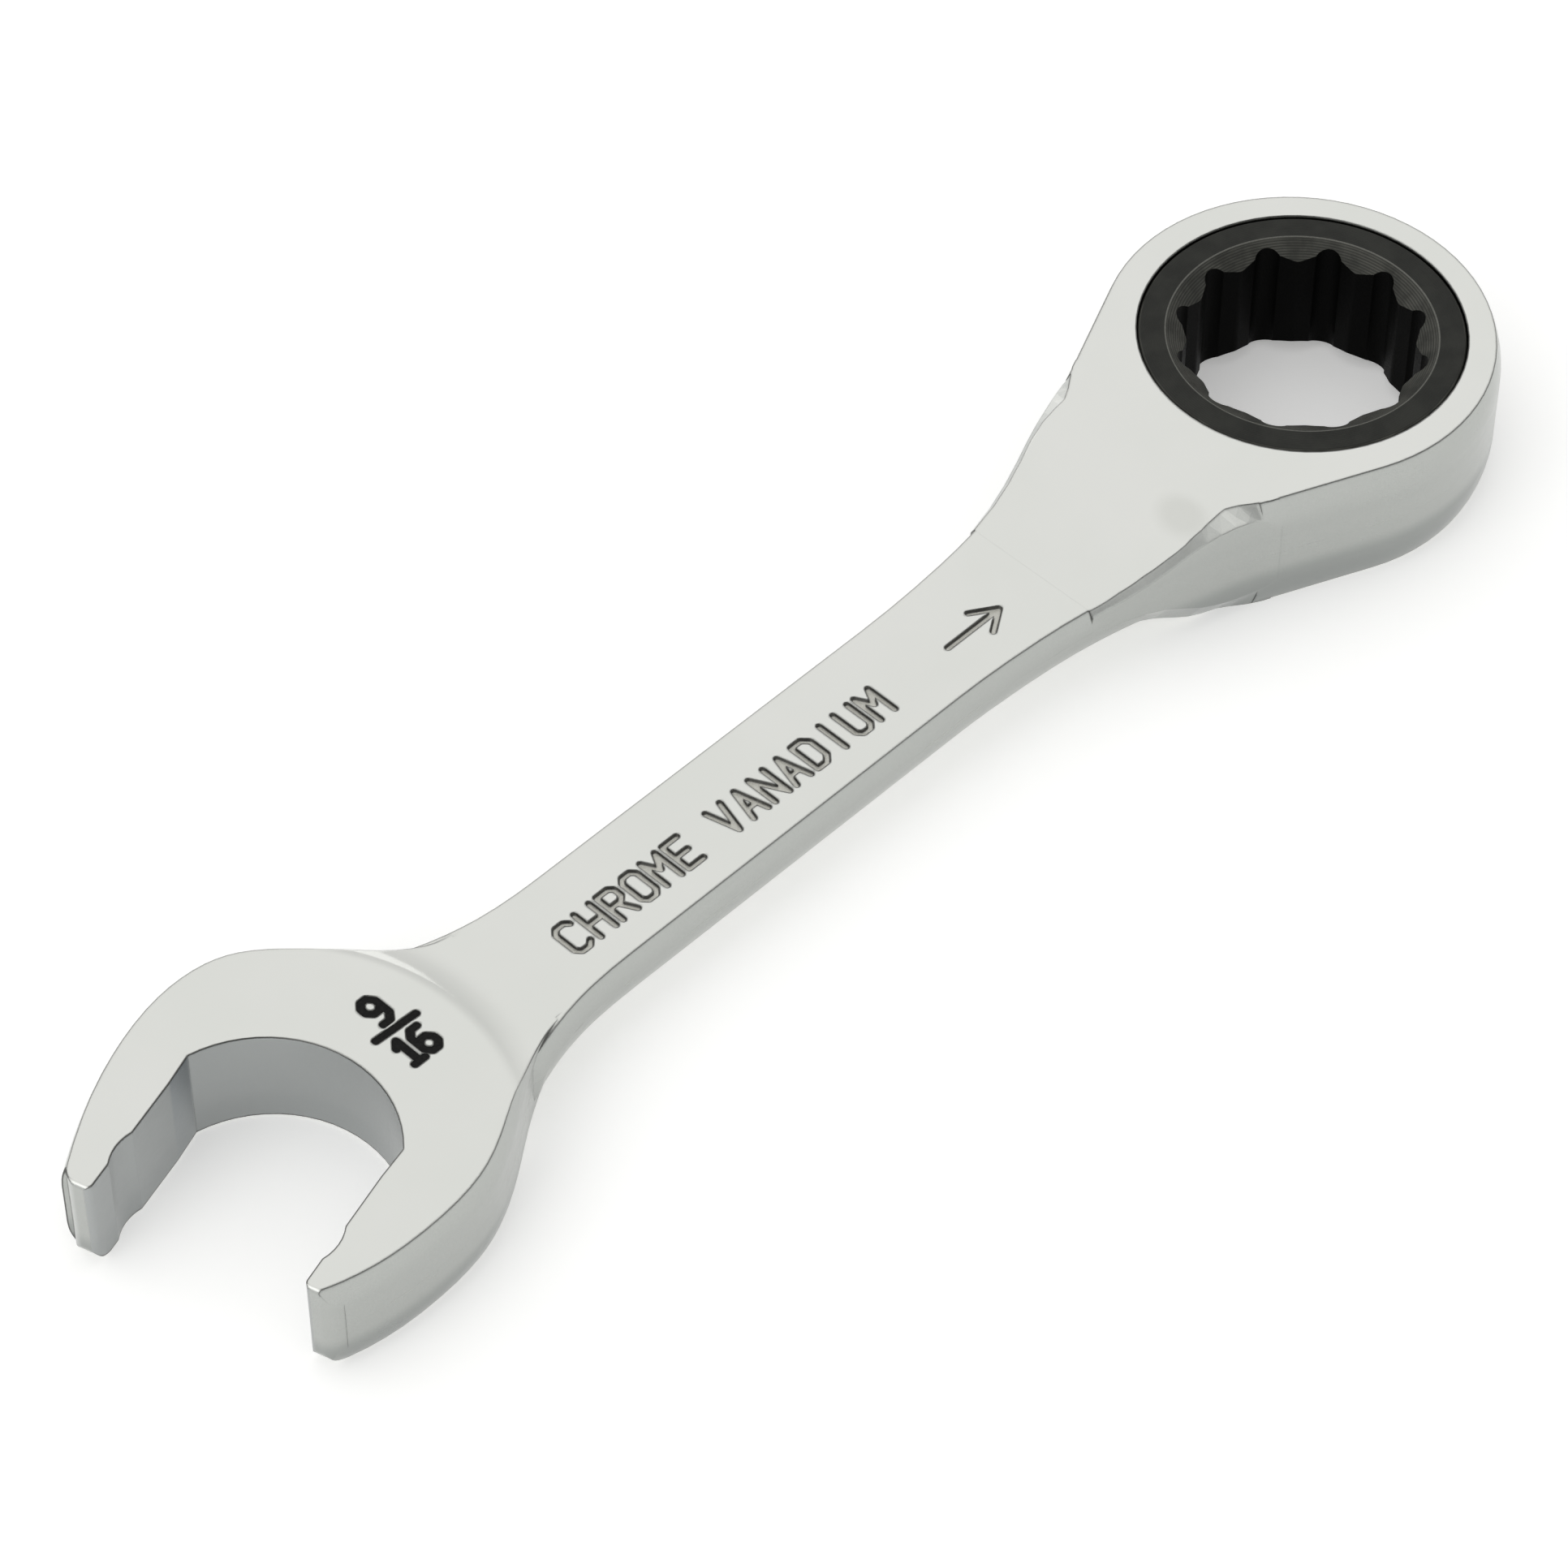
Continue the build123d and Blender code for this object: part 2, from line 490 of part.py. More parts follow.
# ---------------------------------------------------------------- retaining clip
with BuildPart() as retaining_clip:
    with BuildSketch(Plane.XZ):
        with Locations((bore_radius + 0.0, clip_z)):
            Circle(clip_wire / 2)
    revolve(axis=Axis.Z, revolution_arc=325)

# ---------------------------------------------------------------- enamel lying in the size mark
fill_width = size_stroke - 0.02
fill_height = mark_depth - 0.04

with BuildPart() as mark_fill_nine:
    with BuildSketch(Plane.XY.offset(jaw_half - mark_depth)):
        draw(nine_mark, fill_width)
    extrude(amount=fill_height)

with BuildPart() as mark_fill_bar:
    with BuildSketch(Plane.XY.offset(jaw_half - mark_depth)):
        draw(bar_mark, fill_width)
    extrude(amount=fill_height)

with BuildPart() as mark_fill_one:
    with BuildSketch(Plane.XY.offset(jaw_half - mark_depth)):
        draw(one_mark, fill_width)
    extrude(amount=fill_height)

with BuildPart() as mark_fill_six:
    with BuildSketch(Plane.XY.offset(jaw_half - mark_depth)):
        draw(six_mark, fill_width)
    extrude(amount=fill_height)

# ---------------------------------------------------------------- names and files
os.makedirs("parts", exist_ok=True)

wrench_body.part.label = "wrench_body"
export_step(wrench_body.part, "parts/wrench_body.step")

ring_gear.part.label = "ring_gear"
export_step(ring_gear.part, "parts/ring_gear.step")

pawl.part.label = "pawl"
export_step(pawl.part, "parts/pawl.step")

pawl_spring.part.label = "pawl_spring"
export_step(pawl_spring.part, "parts/pawl_spring.step")

retaining_clip.part.label = "retaining_clip"
export_step(retaining_clip.part, "parts/retaining_clip.step")

mark_fill_nine.part.label = "mark_fill_nine"
export_step(mark_fill_nine.part, "parts/mark_fill_nine.step")

mark_fill_bar.part.label = "mark_fill_bar"
export_step(mark_fill_bar.part, "parts/mark_fill_bar.step")

mark_fill_one.part.label = "mark_fill_one"
export_step(mark_fill_one.part, "parts/mark_fill_one.step")

mark_fill_six.part.label = "mark_fill_six"
export_step(mark_fill_six.part, "parts/mark_fill_six.step")

for piece in (wrench_body, ring_gear, pawl, pawl_spring, retaining_clip,
              mark_fill_nine, mark_fill_bar, mark_fill_one, mark_fill_six):
    print(piece.part.label, round(piece.part.volume, 2), len(piece.part.solids()), piece.part.is_valid)
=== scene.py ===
"""Stubby ratcheting combination wrench: materials, floor, light and camera.

Lengths are written in millimetres, unless a comment says metres, and MM turns them into metres.
X runs along the handle from the drive to the open jaw, and Z is the axis of the drive.
"""
import math

import bmesh
import bpy
from mathutils import Matrix, Vector


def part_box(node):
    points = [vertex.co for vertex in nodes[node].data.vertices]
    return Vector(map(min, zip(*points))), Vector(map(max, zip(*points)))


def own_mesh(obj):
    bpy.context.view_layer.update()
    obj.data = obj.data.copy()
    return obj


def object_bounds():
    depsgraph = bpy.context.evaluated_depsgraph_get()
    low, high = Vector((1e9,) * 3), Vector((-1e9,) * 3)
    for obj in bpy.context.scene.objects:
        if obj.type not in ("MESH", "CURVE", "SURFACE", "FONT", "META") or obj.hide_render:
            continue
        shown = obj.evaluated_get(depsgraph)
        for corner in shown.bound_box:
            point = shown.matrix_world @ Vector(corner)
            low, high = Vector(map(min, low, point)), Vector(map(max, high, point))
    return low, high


MM = 0.001

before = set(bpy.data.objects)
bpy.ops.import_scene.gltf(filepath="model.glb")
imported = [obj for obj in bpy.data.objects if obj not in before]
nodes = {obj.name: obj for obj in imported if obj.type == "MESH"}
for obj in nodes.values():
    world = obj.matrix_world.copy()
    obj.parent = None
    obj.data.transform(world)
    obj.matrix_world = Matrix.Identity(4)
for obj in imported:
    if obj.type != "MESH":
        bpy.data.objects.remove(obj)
cad_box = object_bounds()
scene = bpy.context.scene


# ---------------------------------------------------------------- node helpers
class Graph:
    """A node tree with short calls for the nodes used here."""

    def __init__(self, tree):
        self.nodes, self.links = tree.nodes, tree.links

    def feed(self, socket, value):
        """Links or sets a socket; a colour of three numbers is made opaque."""
        if isinstance(value, bpy.types.NodeSocket):
            self.links.new(value, socket)
        elif socket.type == "RGBA" and len(value) == 3:
            socket.default_value = (*value, 1.0)
        else:
            socket.default_value = value

    def split(self, vector):
        node = self.nodes.new("ShaderNodeSeparateXYZ")
        self.links.new(vector, node.inputs[0])
        return node.outputs

    def math(self, operation, *values):
        node = self.nodes.new("ShaderNodeMath")
        node.operation = operation
        for socket, value in zip(node.inputs, values):
            self.feed(socket, value)
        return node.outputs[0]

    def ramp(self, value, low, high, start=0.0, end=1.0):
        """Goes smoothly from start to end as value goes from low to high."""
        node = self.nodes.new("ShaderNodeMapRange")
        node.interpolation_type = "SMOOTHSTEP"
        for name, given in (("Value", value), ("From Min", low), ("From Max", high),
                            ("To Min", start), ("To Max", end)):
            self.feed(node.inputs[name], given)
        return node.outputs["Result"]

    def mix(self, factor, one, two):
        """Mixes two colours."""
        node = self.nodes.new("ShaderNodeMix")
        node.data_type = "RGBA"
        sockets = [socket for socket in node.inputs if socket.type == "RGBA"]
        self.feed(node.inputs["Factor"], factor)
        for socket, colour in zip(sockets, (one, two)):
            self.feed(socket, colour)
        return next(socket for socket in node.outputs if socket.type == "RGBA")

    def both(self, *masks):
        """Product of masks and strengths."""
        result = masks[0]
        for mask in masks[1:]:
            result = self.math("MULTIPLY", result, mask)
        return result

    def outside(self, mask):
        return self.math("SUBTRACT", 1.0, mask)

    def between(self, value, low, high):
        return self.both(self.math("GREATER_THAN", value, low), self.math("LESS_THAN", value, high))

    def length(self, one, two):
        return self.math("SQRT", self.math("ADD", self.both(one, one), self.both(two, two)))

    def distance(self, one, other):
        return self.math("ABSOLUTE", self.math("SUBTRACT", one, other))


NOISE_ROUGHNESS = 0.55
EDGE_SAMPLES = 8
EDGE_STARTS, EDGE_FULL = 0.98, 0.89           # cosine between the rounded and the true normal


class Finish(Graph):
    """A material on the CAD coordinates, in millimetres."""

    def __init__(self, name):
        self.material = bpy.data.materials.new(name)
        self.material.use_nodes = True
        super().__init__(self.material.node_tree)
        self.nodes.clear()
        self.shader = self.nodes.new("ShaderNodeBsdfPrincipled")
        output = self.nodes.new("ShaderNodeOutputMaterial")
        self.links.new(self.shader.outputs[0], output.inputs["Surface"])
        scaled = self.nodes.new("ShaderNodeVectorMath")
        scaled.operation = "MULTIPLY"
        self.links.new(self.nodes.new("ShaderNodeTexCoord").outputs["Object"], scaled.inputs[0])
        scaled.inputs[1].default_value = (1 / MM, 1 / MM, 1 / MM)
        self.place = scaled.outputs[0]
        self.x, self.y, self.z = self.split(self.place)
        geometry = self.nodes.new("ShaderNodeNewGeometry")
        self.normal = geometry.outputs["Normal"]
        self.facing_z = self.math("ABSOLUTE", self.split(geometry.outputs["True Normal"])[2])

    def noise(self, per_mm, detail, stretch=None, turn=0.0):
        """Noise with `per_mm` cells per millimetre, on stretched coordinates if asked."""
        node = self.nodes.new("ShaderNodeTexNoise")
        node.inputs["Scale"].default_value = per_mm
        node.inputs["Detail"].default_value = detail
        node.inputs["Roughness"].default_value = NOISE_ROUGHNESS
        place = self.place
        if stretch:
            mapping = self.nodes.new("ShaderNodeMapping")
            mapping.vector_type = "TEXTURE"
            mapping.inputs["Rotation"].default_value = (0, 0, turn)
            mapping.inputs["Scale"].default_value = stretch
            self.links.new(place, mapping.inputs["Vector"])
            place = mapping.outputs[0]
        self.links.new(place, node.inputs["Vector"])
        return node.outputs["Fac"]

    def bump(self, form, depth, strength, normal):
        """Bump on top of `normal`, `depth` millimetres high for each 1.0 of `form`."""
        node = self.nodes.new("ShaderNodeBump")
        node.inputs["Distance"].default_value = depth * MM
        self.feed(node.inputs["Strength"], strength)
        self.feed(node.inputs["Height"], form)
        self.links.new(normal, node.inputs["Normal"])
        return node.outputs[0]

    def soft_edge(self, radius):
        """Normal rounded over the edges."""
        node = self.nodes.new("ShaderNodeBevel")
        node.samples = EDGE_SAMPLES
        node.inputs["Radius"].default_value = radius * MM
        return node.outputs[0]

    def edge_line(self, rounded):
        """Mask of the edges: where the rounded normal leans away from the true one."""
        node = self.nodes.new("ShaderNodeVectorMath")
        node.operation = "DOT_PRODUCT"
        self.links.new(rounded, node.inputs[0])
        self.links.new(self.normal, node.inputs[1])
        return self.ramp(node.outputs["Value"], EDGE_STARTS, EDGE_FULL)

    def set(self, **values):
        for name, value in values.items():
            self.feed(self.shader.inputs[name.replace("_", " ")], value)


# ---------------------------------------------------------------- chrome over forged steel
SIDE_STARTS, SIDE_FULL = 0.90, 0.50           # how much of a surface's normal points along Z
UPRIGHT = 0.5                                 # a wall's normal points along Z by less than this
CHROME_EDGE = 0.30                            # radius of the rounded edges
SMOOTHEST = 0.03                              # lowest roughness of the chrome

# the open jaw
JAW_CENTRE = (91.45, 0.2)
JAW_TURN = math.radians(16.5)
JAW_HALF_GAP = 7.2
JAW_BACK = -4.0                               # the flats start here, along the jaw from its centre
THROAT_CENTRE, THROAT_RADIUS = 0.508, 8.33    # the centre is measured like JAW_BACK
RUN_IN, RUN_IN_HALF, RUN_IN_ACROSS = -2.35, 1.25, 6.5    # where the throat runs into the flats
THROAT_SKIN, GAP_SKIN, SKIN_FADE = 0.15, 0.45, 0.1       # depth of the layer that counts as a jaw wall
RUN_IN_FADE = 0.3

# marks stamped along the shank
SHANK_TOP = 1.75
MARK_ROW_X, MARK_ROW_Y = (28.5, 69.0), (-1.2, 2.6)
MARK_BOTTOM, MARK_FLOOR_TOP, MARK_WALL_TOP = SHANK_TOP - 0.35, SHANK_TOP - 0.12, SHANK_TOP + 0.05

# painted shade in a soft round patch on the neck, line left by the forging dies, and painted shade
# darker towards the bottom of the sides
SPOT_PLACE, SPOT_RADIUS, SPOT_CORE, SPOT_SQUEEZE = (17.3, 5.1), 2.6, 0.9, 1.5
PARTING_HALF = 0.09
SHADE_DOWN, SHADE_CLEAR = (3.0, -4.0), (0.9, 2.2)        # heights, and distances from mid height

POLISHED = ((0.725, 0.735, 0.705), (0.745, 0.750, 0.725))
SATIN, SATIN_SPECK, LOW_SIDE_PAINTED_SHADE = (0.430, 0.443, 0.426), (0.25, 0.26, 0.25), (0.272, 0.286, 0.280)
BROACHED, RUN_IN_PAINTED_SHADE = (0.370, 0.384, 0.384), (0.24, 0.27, 0.30)
MARK_FLOOR, MARK_WALL = (0.47, 0.46, 0.41), (0.20, 0.19, 0.16)
PARTING_LINE, PAINTED_EDGE_LINE, SPOT_SHADE = (0.35, 0.36, 0.34), (0.05, 0.05, 0.047), (0.635, 0.64, 0.61)


def jaw_walls(t, upright):
    """Masks of the broached walls of the open jaw, and of the painted shade where its throat meets its
    flats.
    """
    dx = t.math("SUBTRACT", t.x, JAW_CENTRE[0])
    dy = t.math("SUBTRACT", t.y, JAW_CENTRE[1])
    cosine, sine = math.cos(JAW_TURN), math.sin(JAW_TURN)
    along = t.math("ADD", t.both(dx, cosine), t.both(dy, sine))
    across = t.distance(t.both(dy, cosine), t.both(dx, sine))
    from_throat = t.length(t.math("SUBTRACT", along, THROAT_CENTRE), across)
    throat_skin, gap_skin = THROAT_RADIUS + THROAT_SKIN, JAW_HALF_GAP + GAP_SKIN
    in_throat = t.both(t.ramp(from_throat, throat_skin, throat_skin - SKIN_FADE),
                       t.math("LESS_THAN", along, 0.0))
    in_gap = t.both(t.ramp(across, gap_skin, gap_skin - SKIN_FADE),
                    t.math("GREATER_THAN", along, JAW_BACK))
    broached = t.both(t.math("MAXIMUM", in_throat, in_gap), upright)
    throat_shade = t.both(broached, t.ramp(t.distance(along, RUN_IN), RUN_IN_HALF, RUN_IN_HALF - RUN_IN_FADE),
                    t.math("GREATER_THAN", across, RUN_IN_ACROSS))
    return broached, throat_shade


def stamped_marks(t, upright):
    """Masks of the floor and the walls of the marks stamped along the shank."""
    row = t.both(t.between(t.x, *MARK_ROW_X), t.between(t.y, *MARK_ROW_Y))
    floor_of_mark = t.both(row, t.between(t.z, MARK_BOTTOM, MARK_FLOOR_TOP),
                           t.math("GREATER_THAN", t.facing_z, SIDE_STARTS))
    wall_of_mark = t.both(row, t.between(t.z, MARK_BOTTOM, MARK_WALL_TOP), upright)
    return floor_of_mark, wall_of_mark


def neck_shade_patch(t, side):
    """Mask of the soft round patch of painted shade on the top of the neck."""
    dx = t.both(t.math("SUBTRACT", t.x, SPOT_PLACE[0]), SPOT_SQUEEZE)
    dy = t.math("SUBTRACT", t.y, SPOT_PLACE[1])
    return t.both(t.ramp(t.length(dx, dy), SPOT_RADIUS, SPOT_CORE), t.math("GREATER_THAN", t.z, 0.0),
                  t.outside(side))


def chrome():
    """Polished flats, and satin sides that keep the grain of the forging under the plating."""
    t = Finish("bright_chrome")
    side = t.ramp(t.facing_z, SIDE_STARTS, SIDE_FULL)
    upright = t.math("LESS_THAN", t.facing_z, UPRIGHT)
    broached, throat_shade = jaw_walls(t, upright)
    floor_of_mark, wall_of_mark = stamped_marks(t, upright)
    neck_shade = neck_shade_patch(t, side)

    grain = t.noise(per_mm=13.0, detail=3)
    speck = t.noise(per_mm=15.0, detail=1)
    peel = t.noise(per_mm=0.55, detail=2)
    cloud = t.noise(per_mm=0.09, detail=3)
    streaks = t.noise(per_mm=3.4, detail=4, stretch=(1, 1, 14))
    # polishing lines along the handle, and a few stray hairlines
    lines = t.noise(per_mm=4.0, detail=3, stretch=(26, 1, 1))
    hairline = t.ramp(t.noise(per_mm=1.6, detail=2, stretch=(60, 1, 1), turn=0.35), 0.70, 0.76)
    # line where the two forging dies met, half way down the sides
    height = t.math("ABSOLUTE", t.z)
    parting = t.both(side, t.ramp(height, PARTING_HALF, PARTING_HALF / 3),
                     t.ramp(cloud, 0.35, 0.6, 0.3, 1.0), t.outside(broached))
    # mask of painted shade: the sides, darker towards the bottom and away from mid height
    low_side_shade = t.both(side, t.ramp(t.z, *SHADE_DOWN), t.ramp(height, *SHADE_CLEAR))

    rounded = t.soft_edge(CHROME_EDGE)
    # painted shade: near-black lines along the edges, standing in for the dark reflections on the
    # rounded edges; the same mask lowers the roughness there
    painted_edge_shade = t.edge_line(rounded)
    colour = t.mix(t.ramp(cloud, 0.3, 0.7), *POLISHED)
    for mask, over in ((t.both(side, 0.95), SATIN),
                       (t.both(side, t.ramp(speck, 0.35, 0.65, 0.0, 0.16)), SATIN_SPECK),
                       # painted shade: the lower sides darker, as if the floor near the wrench were
                       # shaded
                       (t.both(low_side_shade, 0.7), LOW_SIDE_PAINTED_SHADE),
                       (t.both(broached, 0.85), BROACHED),
                       # painted shade where the throat runs into the flats: darker and bluish, stronger
                       # towards the top
                       (t.both(throat_shade, t.ramp(t.z, -3.5, 3.5, 0.15, 0.5)), RUN_IN_PAINTED_SHADE),
                       (t.both(floor_of_mark, t.ramp(grain, 0.3, 0.7, 0.45, 0.9)), MARK_FLOOR),
                       (t.both(wall_of_mark, 0.75), MARK_WALL),
                       (t.both(parting, 0.04), PARTING_LINE),
                       # painted shade: near-black lines along the edges
                       (t.both(painted_edge_shade, 0.92), PAINTED_EDGE_LINE),
                       # painted shade: a soft darker round patch on the top of the neck
                       (t.both(neck_shade, 0.65), SPOT_SHADE)):
        colour = t.mix(mask, colour, over)

    rough = t.math("ADD", t.ramp(lines, 0.3, 0.7, 0.07, 0.11), t.ramp(cloud, 0.35, 0.75, 0.0, 0.05))
    for mask, more in ((hairline, 0.06), (t.both(side, t.ramp(grain, 0.3, 0.7, 0.7, 1.0)), 0.14),
                       (broached, 0.12), (floor_of_mark, 0.25), (parting, 0.04), (neck_shade, 0.10),
                       (painted_edge_shade, -0.15)):
        rough = t.math("ADD", rough, t.both(mask, more))
    rough = t.math("MAXIMUM", rough, SMOOTHEST)

    normal = rounded
    for form, depth, strength in ((peel, 0.006, 0.25), (lines, 0.0010, 0.4),
                                  (grain, 0.0022, t.ramp(side, 0.0, 1.0, 0.03, 0.32)),
                                  (streaks, 0.008, t.both(broached, 0.8)),
                                  (grain, 0.03, t.both(floor_of_mark, 0.8))):
        normal = t.bump(form, depth, strength, normal)
    t.set(Base_Color=colour, Metallic=1.0, Roughness=rough, Normal=normal)
    return t.material


# ---------------------------------------------------------------- phosphated steel
MOUTH_RADIUS = 8.9                            # outer rim of the drive's lead-in cone
BORE_SKIN = 0.2
RIM_HALF_WIDTH = 0.08
BLACK_EDGE = 0.10                             # radius of the rounded edges
RING_PITCH, FINE_PITCH = 41.0, 97.0           # lathe marks, in radians per millimetre of radius
WOBBLE = 0.05

PHOSPHATE = ((0.008, 0.0085, 0.007), (0.018, 0.019, 0.0155))
DUSTY, TURNED, RIM = (0.036, 0.037, 0.031), (0.085, 0.085, 0.074), (0.15, 0.15, 0.135)
BORE_PAINTED_SHADE, RUBBED = (0.002, 0.002, 0.002), (0.12, 0.12, 0.11)
GLOSS, BORE_GLOSS = 0.30, 0.03


class Phosphate(Finish):
    """Matt black steel, before its colour and normal are put in."""

    def __init__(self, name):
        super().__init__(name)
        cloud = self.noise(per_mm=0.45, detail=3)
        self.grain = self.noise(per_mm=11.0, detail=5)
        self.colour = self.mix(self.ramp(cloud, 0.35, 0.7, 0.0, 0.35),
                               self.mix(self.ramp(self.grain, 0.3, 0.72), *PHOSPHATE), DUSTY)
        self.rounded = self.soft_edge(BLACK_EDGE)
        self.grained = self.bump(self.grain, 0.010, 0.6, self.rounded)
        self.set(Metallic=0.3, Roughness=self.ramp(self.grain, 0.3, 0.7, 0.46, 0.62))


def plain_black():
    t = Phosphate("black_plain_steel")
    t.set(Base_Color=t.mix(t.both(t.edge_line(t.rounded), 0.5), t.colour, RUBBED), Normal=t.grained,
          Specular_IOR_Level=GLOSS)
    return t.material


def turned_black():
    """Black steel with lathe marks on its cone, a bright rim round the cone, and painted shade in the
    gear's hole: near black, with little gloss.
    """
    t = Phosphate("black_turned_steel")
    out = t.length(t.x, t.y)
    flat_top = t.ramp(t.facing_z, 0.88, 0.97)
    sloped = t.both(t.ramp(t.facing_z, 0.35, 0.6), t.outside(flat_top))
    rim = t.both(t.ramp(t.distance(out, MOUTH_RADIUS), RIM_HALF_WIDTH, RIM_HALF_WIDTH / 4),
                 t.math("GREATER_THAN", t.facing_z, 0.3))
    bore_shade = t.both(t.math("LESS_THAN", out, MOUTH_RADIUS - BORE_SKIN),
                  t.math("LESS_THAN", t.facing_z, 0.35))

    wobble = t.both(t.noise(per_mm=0.8, detail=2), WOBBLE)
    rings = t.math("SINE", t.both(t.math("ADD", out, wobble), RING_PITCH))
    fine = t.math("SINE", t.both(out, FINE_PITCH))
    marks = t.math("ADD", rings, t.both(fine, 0.6))
    patchy = t.ramp(t.noise(per_mm=0.5, detail=3), 0.35, 0.65, 0.35, 1.0)
    colour = t.colour
    for mask, over in ((t.both(sloped, patchy, t.ramp(marks, -1.0, 1.4, 0.25, 1.0)), TURNED),
                       (t.both(rim, t.ramp(t.grain, 0.35, 0.6, 0.6, 1.0)), RIM),
                       # painted shade: the wall of the gear's hole painted near black
                       (t.both(bore_shade, 0.95), BORE_PAINTED_SHADE)):
        colour = t.mix(mask, colour, over)
    lathe = t.math("MAXIMUM", t.both(flat_top, 0.25), sloped)
    t.set(Base_Color=colour, Normal=t.bump(marks, 0.010, t.both(lathe, 0.8), t.grained),
          Specular_IOR_Level=t.ramp(bore_shade, 0.0, 1.0, GLOSS, BORE_GLOSS))
    return t.material


# ---------------------------------------------------------------- wire and enamel
BARE_WIRE = ((0.42, 0.42, 0.41), (0.30, 0.30, 0.29))
ENAMEL = ((0.003, 0.003, 0.003), (0.009, 0.009, 0.008))
ENAMEL_GLOSS = 0.12
WIRE_EDGE, ENAMEL_EDGE = 0.05, 0.08           # radii of the rounded edges


def drawn_wire():
    t = Finish("drawn_spring_wire")
    lines = t.noise(per_mm=9.0, detail=3)
    cloud = t.noise(per_mm=0.8, detail=3)
    t.set(Base_Color=t.mix(t.ramp(cloud, 0.35, 0.7), *BARE_WIRE), Metallic=1.0,
          Roughness=t.ramp(lines, 0.3, 0.7, 0.20, 0.36),
          Normal=t.bump(lines, 0.004, 0.4, t.soft_edge(WIRE_EDGE)))
    return t.material


def enamel():
    t = Finish("black_enamel_fill")
    pits = t.noise(per_mm=5.0, detail=4)
    t.set(Base_Color=t.mix(t.ramp(pits, 0.35, 0.75), *ENAMEL), Specular_IOR_Level=ENAMEL_GLOSS,
          Roughness=t.ramp(pits, 0.3, 0.7, 0.25, 0.45),
          Normal=t.bump(pits, 0.04, 0.7, t.soft_edge(ENAMEL_EDGE)))
    return t.material


def dress(material, *names):
    for name in names:
        nodes[name].material_slots[0].material = material


dress(chrome(), "wrench_body")
dress(turned_black(), "ring_gear")
dress(plain_black(), "pawl")
dress(drawn_wire(), "pawl_spring", "retaining_clip")
dress(enamel(), "mark_fill_nine", "mark_fill_bar", "mark_fill_one", "mark_fill_six")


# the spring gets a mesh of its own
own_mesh(nodes["pawl_spring"])


# ---------------------------------------------------------------- floor
# the wrench leans a little, because its thick head and its thinner jaw both touch the floor
HEAD_END, JAW_HALF_THICKNESS = 15.0, 3.7
body_low, body_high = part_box("wrench_body")
head_rest = Vector((HEAD_END * MM, 0, body_low.z))
jaw_rest = Vector((body_high.x, 0, -JAW_HALF_THICKNESS * MM))
FLOOR_GAP = 0.01
FLOOR_REACH = 3.0                             # metres
FLOOR_PAINT = ((0.90, 0.90, 0.895), (0.93, 0.93, 0.925))
FLOOR_GLOW, FLOOR_GLOW_STRENGTH = (1.0, 1.0, 0.995), 0.30


def floor():
    slope = math.atan2(jaw_rest.z - head_rest.z, jaw_rest.x - head_rest.x)
    mesh = bpy.data.meshes.new("floor")
    shape = bmesh.new()
    bmesh.ops.create_grid(shape, x_segments=8, y_segments=8, size=FLOOR_REACH)
    bmesh.ops.rotate(shape, verts=shape.verts, cent=(0, 0, 0), matrix=Matrix.Rotation(-slope, 3, "Y"))
    bmesh.ops.translate(shape, verts=shape.verts, vec=head_rest + Vector((0, 0, -FLOOR_GAP * MM)))
    shape.to_mesh(mesh)
    shape.free()
    t = Finish("pale_floor")
    t.set(Base_Color=t.mix(t.noise(per_mm=0.004, detail=2), *FLOOR_PAINT), Roughness=0.9,
          Specular_IOR_Level=0.0, Emission_Color=FLOOR_GLOW, Emission_Strength=FLOOR_GLOW_STRENGTH)
    mesh.materials.append(t.material)
    plane = bpy.data.objects.new("floor", mesh)
    scene.collection.objects.link(plane)


floor()


# ---------------------------------------------------------------- light
MIDDLE = (cad_box[0] + cad_box[1]) / 2        # metres, like the lamps' places and sizes
DOME_LIGHT, DOME_FULL_AT = 0.96, 30.0         # degrees above the horizon
HORIZON_LIGHT = 0.60
PANEL_LIGHT, PANEL_STARTS, PANEL_FULL = 0.78, -0.35, -0.75    # white card standing past the ring head
GAP_LIGHT = 0.42
GAP_MIDDLE, GAP_HALF, GAP_CORE = 26.0, 20.0, 16.0             # degrees from straight up, towards +Y
GAP_ENDS = (0.80, 0.62)                       # along X, no gap at the first and all of it at the second
ALMOST_LEVEL = 0.0001
SKY_WHITE = (1.0, 1.0, 0.99)


def softbox(name, offset, width, height, power):
    """A lamp that looks at the middle of the wrench from `offset` away."""
    light = bpy.data.lights.new(name, "AREA")
    light.shape = "RECTANGLE"
    light.size, light.size_y = width, height
    light.energy = power
    lamp = bpy.data.objects.new(name, light)
    lamp.location = MIDDLE + Vector(offset)
    lamp.rotation_euler = (MIDDLE - lamp.location).to_track_quat("-Z", "Y").to_euler()
    scene.collection.objects.link(lamp)


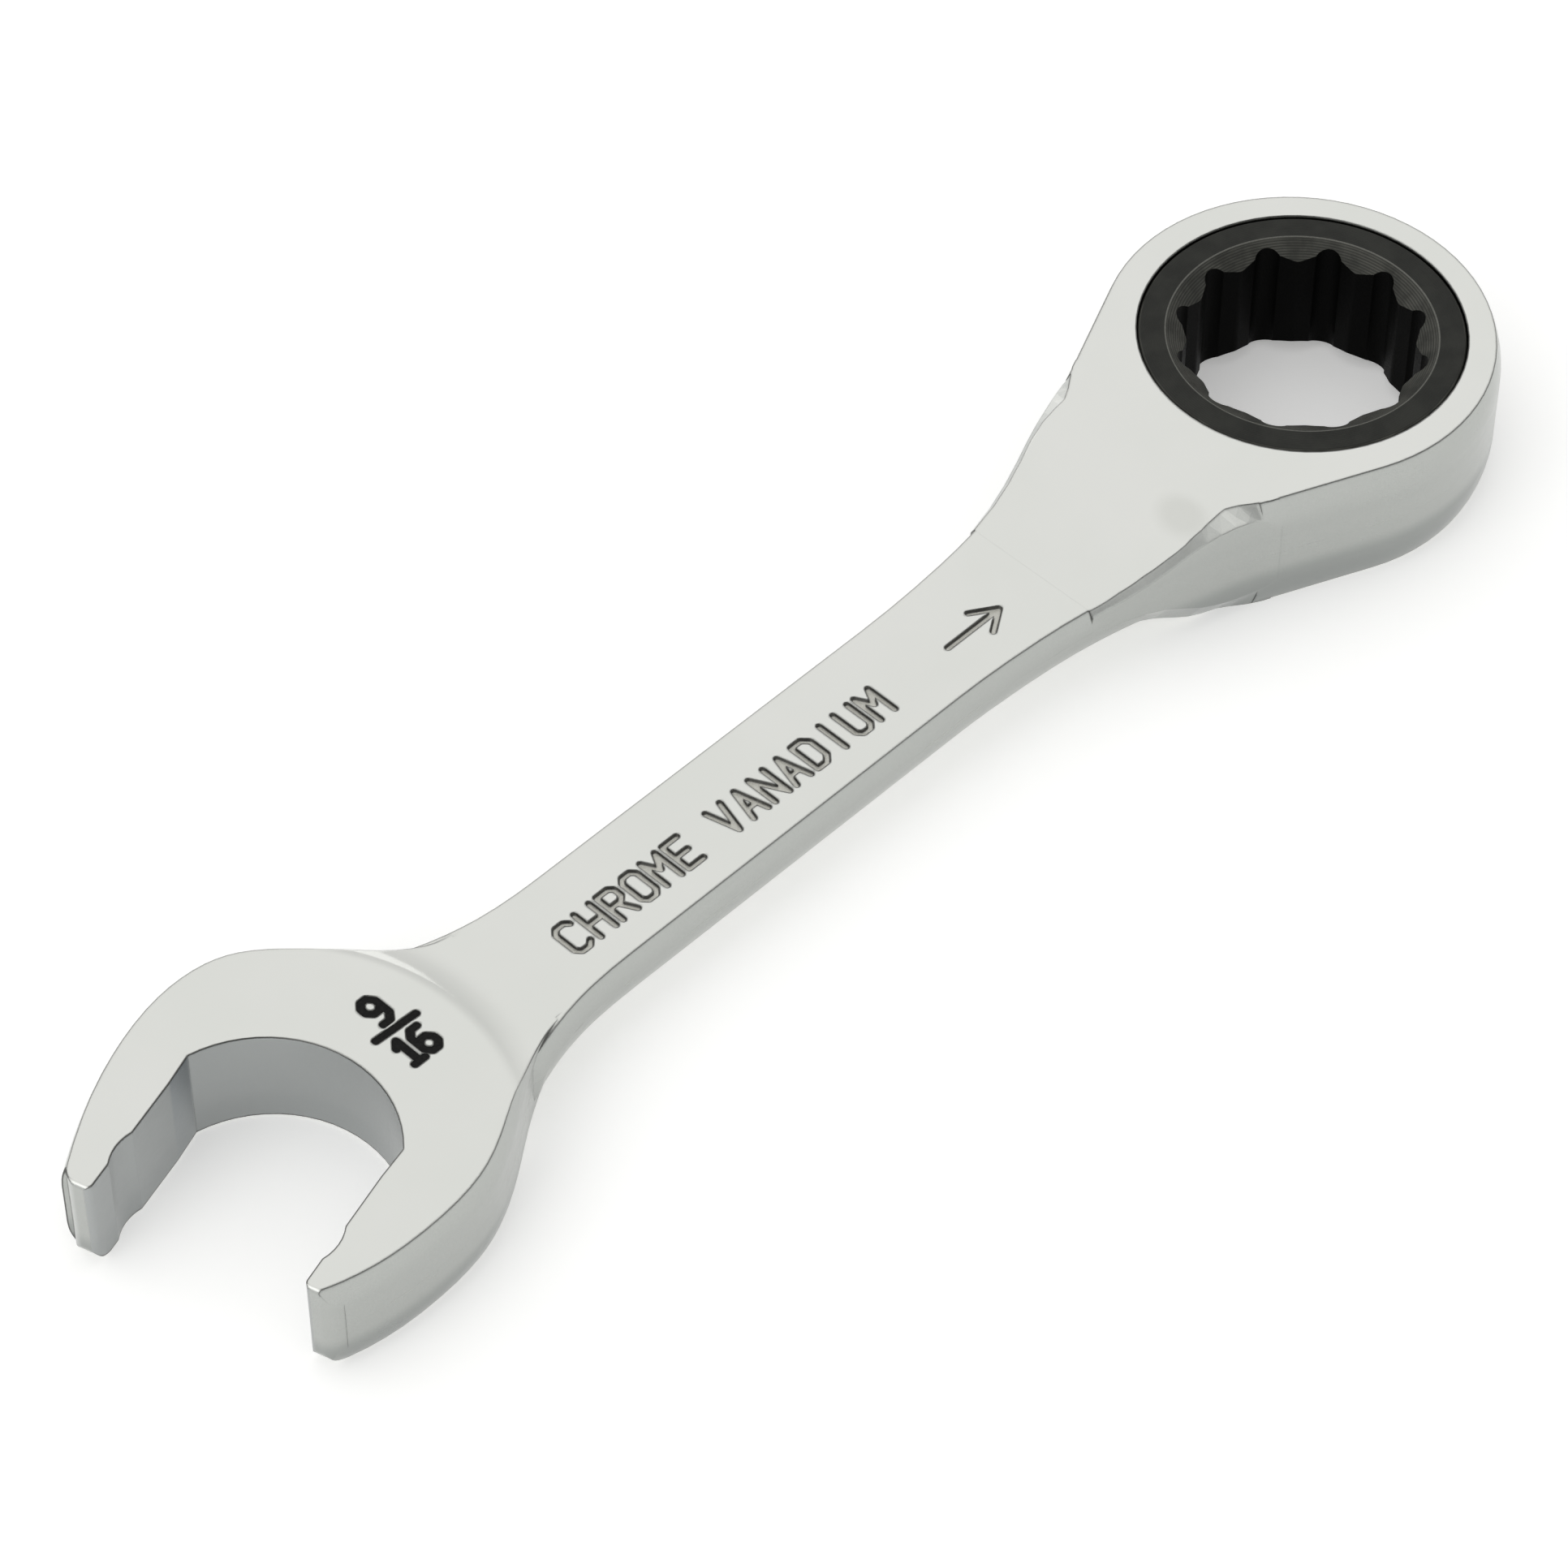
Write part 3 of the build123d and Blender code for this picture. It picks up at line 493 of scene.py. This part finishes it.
def sky():
    """A white dome, dimmer towards the horizon, with a long grey gap on the +Y side of the top."""
    world = bpy.data.worlds.new("soft_studio")
    world.use_nodes = True
    g = Graph(world.node_tree)
    x, y, z = g.split(g.nodes.new("ShaderNodeTexCoord").outputs["Generated"])
    horizon = g.ramp(x, PANEL_STARTS, PANEL_FULL, HORIZON_LIGHT, PANEL_LIGHT)
    dome = g.ramp(z, 0.0, math.sin(math.radians(DOME_FULL_AT)), horizon, DOME_LIGHT)
    lean = g.math("ARCTAN2", y, g.math("MAXIMUM", z, ALMOST_LEVEL))
    from_middle = g.distance(lean, math.radians(GAP_MIDDLE))
    gap = g.both(g.ramp(from_middle, math.radians(GAP_HALF), math.radians(GAP_CORE)),
                 g.ramp(g.math("ABSOLUTE", x), *GAP_ENDS))
    background = g.nodes["Background"]
    g.feed(background.inputs["Color"], SKY_WHITE)
    g.feed(background.inputs["Strength"], g.both(dome, g.ramp(gap, 0.0, 1.0, 1.0, GAP_LIGHT)))
    scene.world = world


sky()
softbox("back_softbox", (0.25, -1.15, 0.45), width=0.8, height=0.5, power=0.8)
softbox("jaw_softbox", (1.10, 0.15, 0.80), width=1.2, height=1.2, power=3.0)


# ---------------------------------------------------------------- camera
CAMERA_PLACE = Vector((223.43, 171.50, 285.69)) * MM
CAMERA_AIM = Vector((48.34, 0.25, 0.0)) * MM
CAMERA_ROLL = math.radians(0.089)
LENS, SENSOR = 139.75, 36.0
NEAREST, FURTHEST = 0.01, 20.0                # metres

camera = bpy.data.cameras.new("camera")
camera.lens = LENS
camera.sensor_width = SENSOR
camera.clip_start, camera.clip_end = NEAREST, FURTHEST
view = bpy.data.objects.new("camera", camera)
view.location = CAMERA_PLACE
view.rotation_mode = "QUATERNION"
look = (CAMERA_AIM - CAMERA_PLACE).to_track_quat("-Z", "Y")
view.rotation_quaternion = look @ Matrix.Rotation(CAMERA_ROLL, 3, "Z").to_quaternion()
scene.collection.objects.link(view)
scene.camera = view
scene.view_settings.view_transform = "Standard"
scene.view_settings.look = "None"
